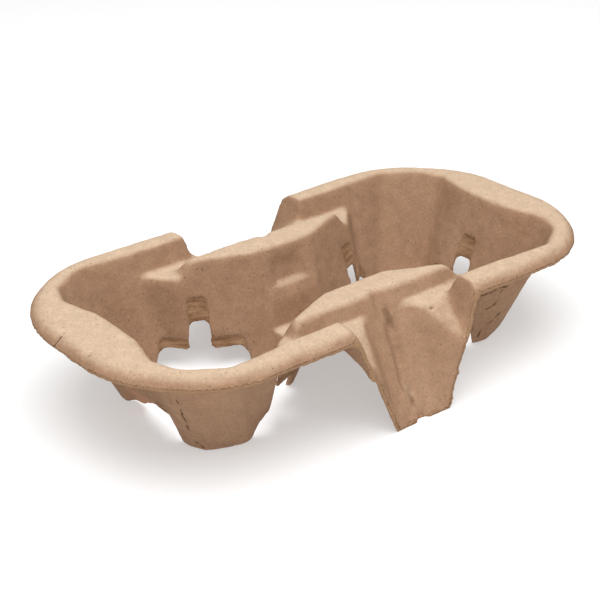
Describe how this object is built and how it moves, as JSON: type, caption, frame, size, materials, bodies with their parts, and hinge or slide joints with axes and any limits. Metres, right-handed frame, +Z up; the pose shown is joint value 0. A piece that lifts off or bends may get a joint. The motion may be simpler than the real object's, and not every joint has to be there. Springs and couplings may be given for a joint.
{
  "type": "cup carrier",
  "caption": "Low moulded pulp tray that holds drinking cups upright in lobed pockets, with a rolled rim, raised piers between the pockets and T-shaped openings in the pocket walls.",
  "frame": {"origin": "on the table under the middle of the carrier", "axes": "+X along the length from pocket to pocket, +Y across towards the back, +Z up"},
  "size_m": [0.2134, 0.1192, 0.043],
  "materials": {
    "pulp": "rough unbleached moulded pulp with fine fibres and specks"
  },
  "bodies": {
    "root": {"cup_carrier": "pulp"}
  },
  "joints": []
}
